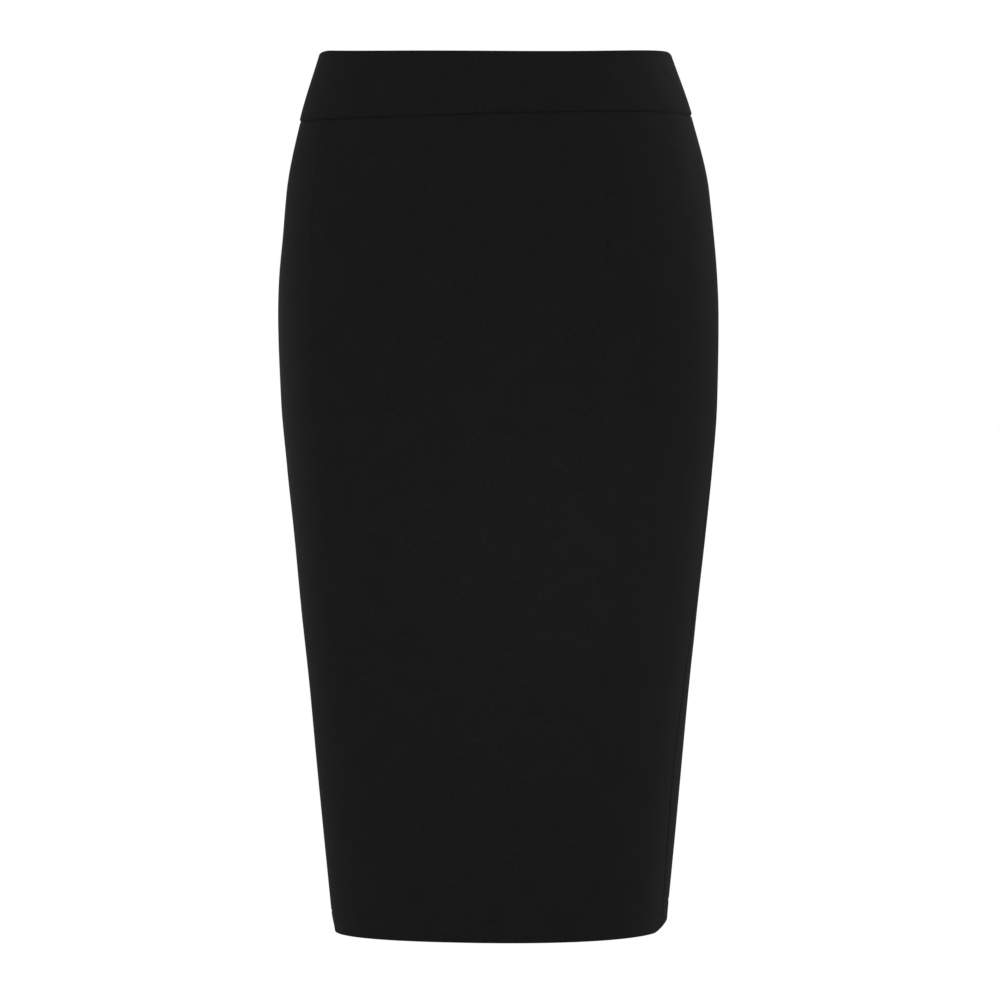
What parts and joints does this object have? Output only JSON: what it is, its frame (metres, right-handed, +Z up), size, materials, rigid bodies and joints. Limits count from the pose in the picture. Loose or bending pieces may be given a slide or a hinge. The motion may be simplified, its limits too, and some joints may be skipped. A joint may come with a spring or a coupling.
{
  "type": "pencil skirt",
  "caption": "Knee-length pencil skirt in plain black suiting, filled out as worn, with a deep shaped waistband, darts, a stitched hem, a concealed back zip and a lapped vent.",
  "frame": {"origin": "centre of the waist opening, level with the waistband's top edge at the centre front", "axes": "+Z up towards the waist, -Y out of the front, +X towards the wearer's left"},
  "size_m": [0.3282, 0.2496, 0.6555],
  "materials": {
    "cloth": "matt, smooth, closely woven stretch suiting",
    "zip_tape": "matt woven tape",
    "zip_metal": "black lacquer, half gloss"
  },
  "bodies": {
    "skirt": {"front_panel": "cloth", "back_panel_left": "cloth", "back_panel_right": "cloth", "waistband_front": "cloth", "waistband_back_left": "cloth", "waistband_back_right": "cloth", "zip_tape": "zip_tape", "zip_slider": "zip_metal"},
    "pull": {"zip_pull": "zip_metal"}
  },
  "joints": [
    {"name": "pull_hinge", "type": "hinge", "parent": "skirt", "child": "pull", "pos_m": [0, 0.08727, -0.00811], "axis": [1, 0, 0], "range_deg": [0, 165]}
  ]
}
